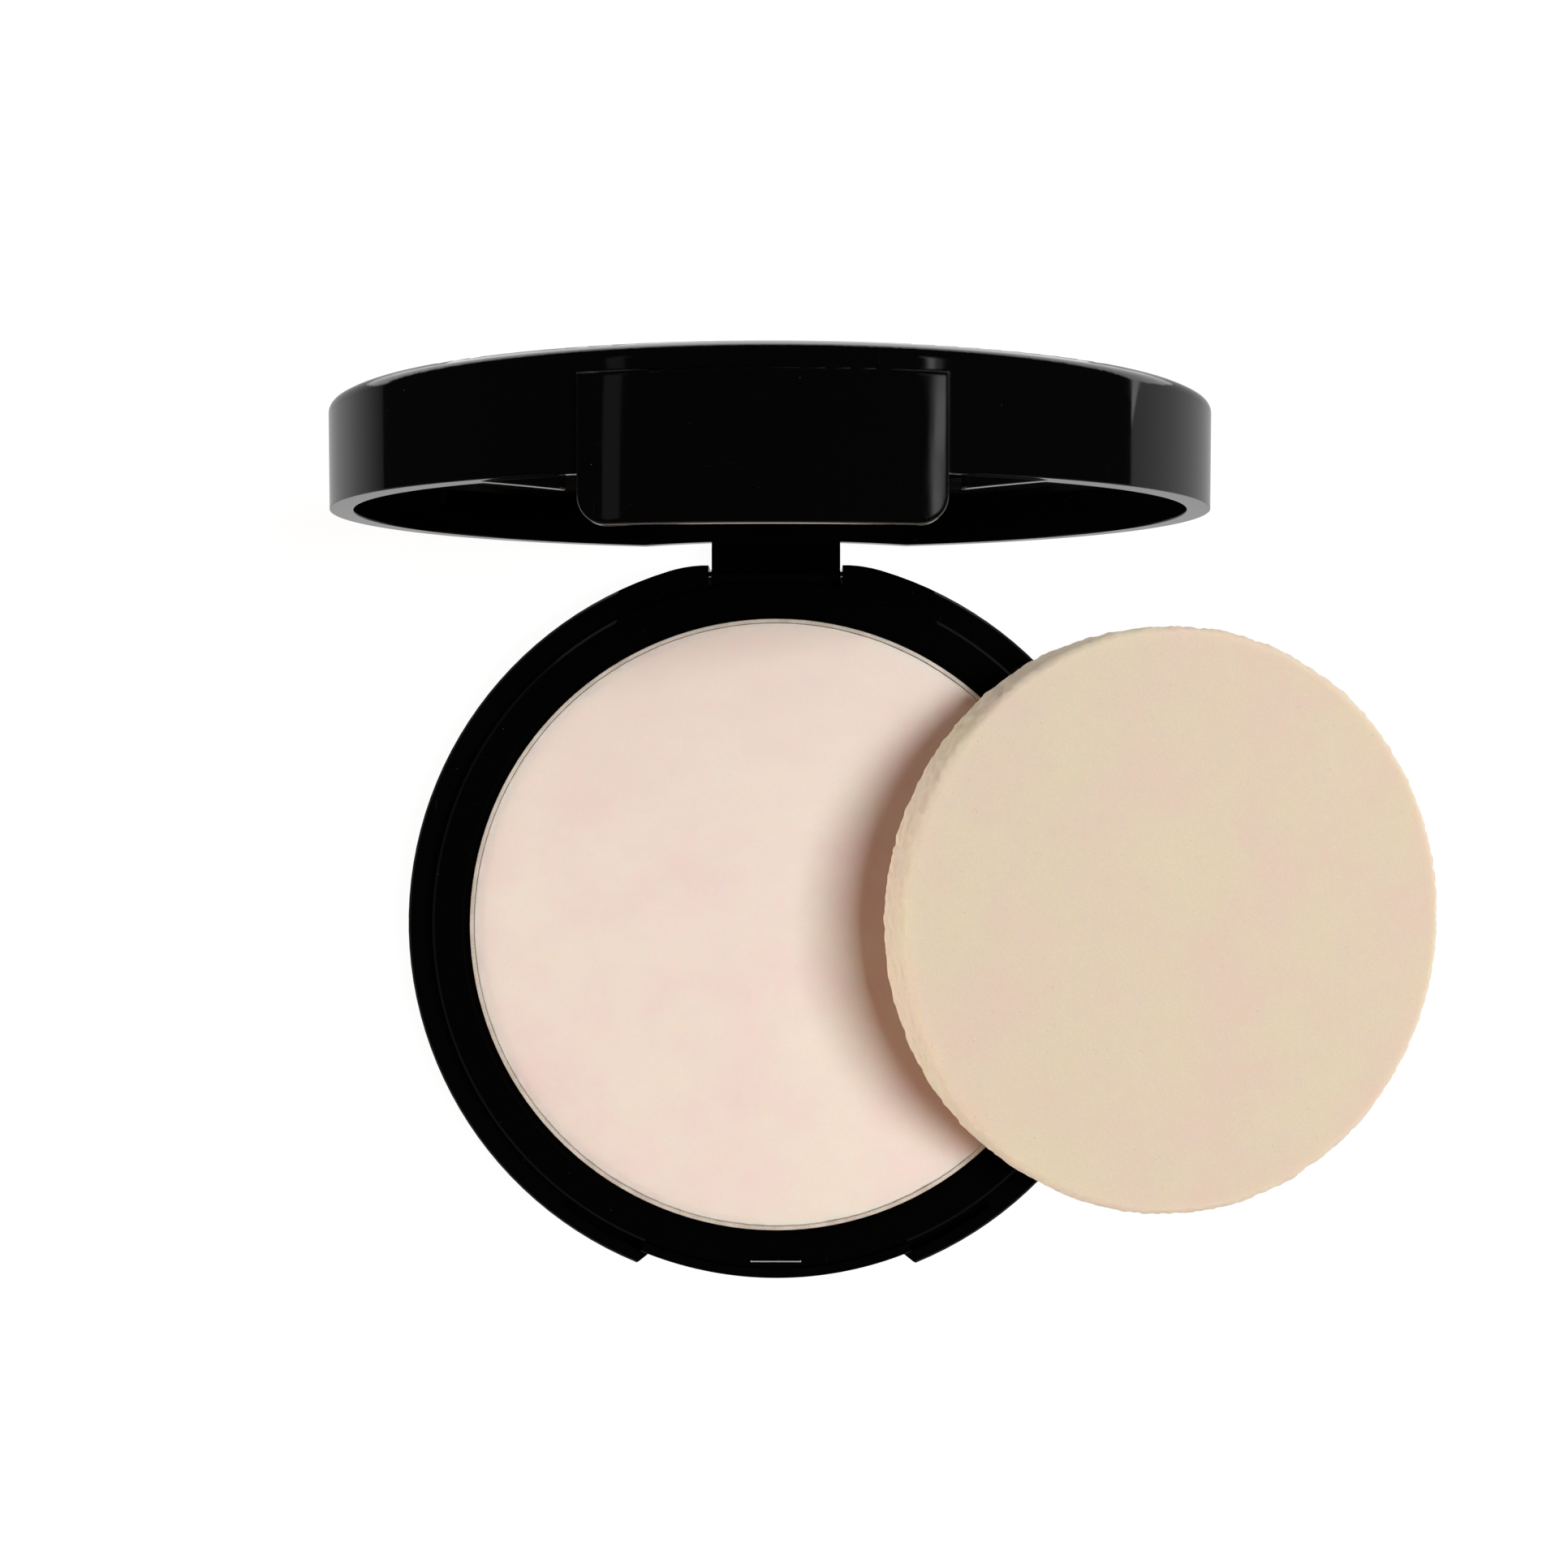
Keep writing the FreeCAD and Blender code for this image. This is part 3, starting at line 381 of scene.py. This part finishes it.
def make_powder_cake():
    """The pressed cake: almost flat, with a soft press pattern and a crumbled margin at the pan's wall."""
    low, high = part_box("pressed_powder")
    wall_gap = 0.05 * MM
    floor_gap = 0.01 * MM
    radius = (high[0] - low[0]) / 2 - wall_gap
    top = high[2]
    floor = low[2] + floor_gap
    margin = 1.2 * MM
    edge_drop = 0.10 * MM
    crumbled = 0.7 * MM
    settled = 0.03 * MM
    fine = 0.08 * MM
    coarse = 0.45 * MM

    def fall(distance):
        """Drop of the margin towards the wall."""
        across = max(0.0, 1 - (radius - distance) / margin)
        return edge_drop * across ** 2

    profile = [(r, floor) for r in ramp(0, radius - 0.3 * MM, 2.5 * MM)]
    profile += [(radius, z) for z in ramp(floor + 0.2 * MM, top - edge_drop - 0.25 * MM, 0.5 * MM)]
    profile += [(r, top - fall(r)) for r in ramp(radius, radius - 2 * margin, fine)]
    profile += [(r, top) for r in ramp(radius - 2 * margin - 0.3 * MM, 0, coarse)]

    def shape(point):
        """The top's points get the press pattern and the crumbs; the rest stay put."""
        if point.z < top - edge_drop - 0.2 * MM:
            return point
        flat = Vector((point.x, point.y, 0.0))
        press = 0.018 * MM * ripple(flat, 7 * MM, 3.0) + 0.008 * MM * ripple(flat, 1.5 * MM, 8.0)
        rim = max(0.0, 1 - (radius - flat.length) / crumbled)
        crumble = 0.10 * MM * rim * (ripple(flat, 0.5 * MM, 5.0) + 0.8 * ripple(flat, 2.2 * MM, 6.0))
        return Vector((point.x, point.y, min(point.z - settled + press + crumble, top)))

    return lathe("powder_cake", profile, turns=480, shape=shape)


def make_foam_sponge():
    """The loose sponge: a cut foam disc with soft faces, cut cells along its side and a slight dish."""
    low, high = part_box("sponge")
    middle = (Vector(low) + Vector(high)) / 2
    half = SPONGE_THICK / 2
    straight = SPONGE_RADIUS - SPONGE_ROUND
    wall = half - SPONGE_ROUND - 0.25 * MM
    inset = 0.18 * MM
    dish = 0.06 * MM

    def corner(angle):
        """Width and height of the rounded edge's arc, from its flat end at 0 to its upright end at 90."""
        turn = math.radians(angle)
        return straight + SPONGE_ROUND * math.sin(turn), half - SPONGE_ROUND * (1 - math.cos(turn))

    bends = [corner(angle) for angle in range(0, 91, 15)]
    profile = [(r, -half) for r in ramp(0, straight - 0.3 * MM, 0.8 * MM)]
    profile += [(r, -z) for r, z in bends]
    profile += [(SPONGE_RADIUS, z) for z in ramp(-wall, wall, 0.28 * MM)]
    profile += reversed(bends)
    profile += [(r, half) for r in ramp(straight - 0.4 * MM, 0, 0.7 * MM)]

    def shape(point):
        """The side gets cut cells and is pulled in a little; the faces get soft swells and a dish."""
        flat = Vector((point.x, point.y, 0.0))
        side = min(1.0, max(0.0, (flat.length - straight + 0.5 * MM) / SPONGE_ROUND))
        cells = 0.15 * MM * ripple(point, 0.6 * MM, 2.0) + 0.09 * MM * ripple(point, 1.5 * MM, 4.0)
        cut = 0.05 * MM * ripple(point, 6 * MM, 7.0)
        swell = 0.05 * MM * ripple(point, 9 * MM, 1.0) + 0.012 * MM * ripple(point, 1.6 * MM, 9.0)
        upward = 1.0 if point.z > 0 else -1.0
        moved = point + flat.normalized() * side * (cells + cut - inset)
        moved.z += upward * (1 - side) * (swell - dish)
        return moved

    piece = lathe("foam_sponge", profile, turns=640, shape=shape)
    piece.data.transform(Matrix.Translation(middle) @ Matrix.Rotation(SPONGE_TILT, 4, "Y"))
    return piece


# ---------------------------------------------------------------- light, floor and camera

def softbox(name, target, offset, width, length, power, tone=WHITE[:3], glint=False):
    """Area light aimed at a target; a glint shows only in gloss, any other only on what is matt."""
    lamp = bpy.data.lights.new(name, "AREA")
    lamp.color = tone
    lamp.shape = "RECTANGLE"
    lamp.size = width
    lamp.size_y = length
    lamp.energy = power
    made = bpy.data.objects.new(name, lamp)
    made.location = target + Vector(offset)
    made.rotation_euler = (target - made.location).to_track_quat("-Z", "Y").to_euler()
    made.visible_glossy = glint
    made.visible_diffuse = not glint
    bpy.context.scene.collection.objects.link(made)


def make_lights():
    """A key from the right and a low fill from the left for what is matt, and three strips for the gloss."""
    softbox("key_right", CASE_MIDDLE, (0.46, 0.06, 0.92), width=0.30, length=0.46, power=11.4,
            tone=COOL_KEY)
    softbox("low_left", CASE_MIDDLE, (-0.46, -0.05, 0.04), width=0.30, length=0.08, power=1.55,
            tone=GREEN_FILL)
    softbox("strip_right", LID_TAB, (0.426, 0.06, 0.478), width=0.30, length=0.05, power=0.035, glint=True)
    softbox("strip_bright", LID_TAB, (0.420, 0.06, 0.484), width=0.22, length=0.018, power=0.03, glint=True)
    softbox("strip_left", LID_TAB, (-0.390, 0.06, 0.508), width=0.30, length=0.05, power=0.012, glint=True)


def floor_sheet(name, low, high, height, glow, albedo=0.0, fade=0.0):
    """Glowing sheet between two corners; over the first fade metres from its left edge it is dimmer."""
    mesh = bpy.data.meshes.new(name)
    corners = [(low[0], low[1], 0.0), (high[0], low[1], 0.0), (high[0], high[1], 0.0), (low[0], high[1], 0.0)]
    mesh.from_pydata(corners, [], [(0, 1, 2, 3)])
    sheet = bpy.data.objects.new(name, mesh)
    sheet.location.z = height
    bpy.context.scene.collection.objects.link(sheet)
    made = Surface(name, (albedo, albedo, albedo, 1.0), 0.8, Specular_IOR_Level=0.0)
    made.shader.inputs["Emission Color"].default_value = WHITE
    made.shader.inputs["Emission Strength"].default_value = glow
    if fade:
        rising = made.remap(made.along("X"), low[0], low[0] + fade, to_low=0.3 * glow, to_high=1.25 * glow)
        made.plug(rising, made.shader.inputs["Emission Strength"])
    mesh.materials.append(made.material)
    return sheet


def make_floor():
    """White floor to look at, and in its place for the gloss a table of limited size."""
    floor_height = -0.02 * MM
    table_height = -0.03 * MM
    floor = floor_sheet("floor", (-FLOOR_REACH, -FLOOR_REACH), (FLOOR_REACH, FLOOR_REACH), floor_height,
                        glow=0.96, albedo=0.1)
    floor.visible_glossy = False
    front = floor_sheet("table_front", (TABLE_LEFT, TABLE_FRONT), (TABLE_RIGHT, TABLE_SEAM), table_height,
                        glow=0.42, fade=0.09)
    rear = floor_sheet("table_rear", (TABLE_LEFT, TABLE_SEAM), (TABLE_RIGHT, TABLE_BACK), table_height,
                       glow=2.0)
    for sheet in (front, rear):
        sheet.visible_camera = False
        sheet.visible_diffuse = False
        sheet.visible_shadow = False


def make_world():
    """White surround to look at, warm and dim as light, dark in reflections."""
    world = bpy.data.worlds.new("studio")
    world.use_nodes = True
    tree = world.node_tree
    ray = tree.nodes.new("ShaderNodeLightPath")
    factor, first, second = MIX_INPUTS
    source = None
    for share, tone in (("Is Glossy Ray", NEAR_BLACK), ("Is Camera Ray", WHITE)):
        mix = tree.nodes.new("ShaderNodeMix")
        mix.data_type = "RGBA"
        tree.links.new(ray.outputs[share], mix.inputs[factor])
        mix.inputs[first].default_value = WARM_AMBIENT
        if source:
            tree.links.new(source, mix.inputs[first])
        mix.inputs[second].default_value = tone
        source = mix.outputs[MIX_RESULT]
    tree.links.new(source, tree.nodes["Background"].inputs["Color"])
    bpy.context.scene.world = world


def make_camera():
    """Camera that looks almost straight down."""
    lens = bpy.data.cameras.new("camera")
    lens.sensor_width = SENSOR_WIDTH
    lens.lens = LENS
    lens.clip_start = 0.005
    made = bpy.data.objects.new("camera", lens)
    turn = (Matrix.Rotation(-CAMERA_PITCH, 4, "X") @ Matrix.Rotation(-CAMERA_YAW, 4, "Y")
            @ Matrix.Rotation(-CAMERA_ROLL, 4, "Z"))
    made.matrix_world = Matrix.Translation(CAMERA_PLACE) @ turn
    bpy.context.scene.collection.objects.link(made)
    bpy.context.scene.camera = made


# ---------------------------------------------------------------- the whole compact

def dress_case():
    """Materials of the CAD pieces that keep their own mesh."""
    land_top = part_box("base_insert")[1][2]
    # the catch rib's front edge, along which the land's material paints a highlight
    rib_edge = Vector((0.0, CATCH_FRONT, land_top - CATCH_BEVEL))
    catch = nodes["base_insert"].matrix_world.inverted() @ rib_edge
    dress("lid_shell", gloss_black("gloss_lid", level=0.3, soft=0.22 * MM))
    dress("base_shell", gloss_black("gloss_base", level=0.1, soft=0.15 * MM))
    dress("base_insert", gloss_black("gloss_land", level=0.02, soft=0.08 * MM, catch=catch))
    dress("mirror_frame", satin_black())
    dress("powder_pan", pan_metal())
    dress("mirror", silvered_glass())
    dress("bottom_label", blank_label())
    dress("hinge_pin", drawn_steel())
    dress("pan_glue", soft_adhesive("hot_melt", srgb(226, 218, 190)))
    dress("mirror_tape", soft_adhesive("foam_tape", srgb(214, 214, 208)))


def add_soft_pieces():
    """Finer meshes in place of the CAD's cake and sponge."""
    cake = make_powder_cake()
    cake.data.materials.append(pressed_powder())
    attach(cake, "base")
    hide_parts("pressed_powder")

    sponge = make_foam_sponge()
    sponge.data.materials.append(foam())
    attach(sponge, "sponge")
    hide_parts("sponge")


def main():
    bpy.context.scene.view_settings.view_transform = "Standard"
    make_camera()
    make_world()
    make_floor()
    make_lights()
    dress_case()
    add_soft_pieces()


main()
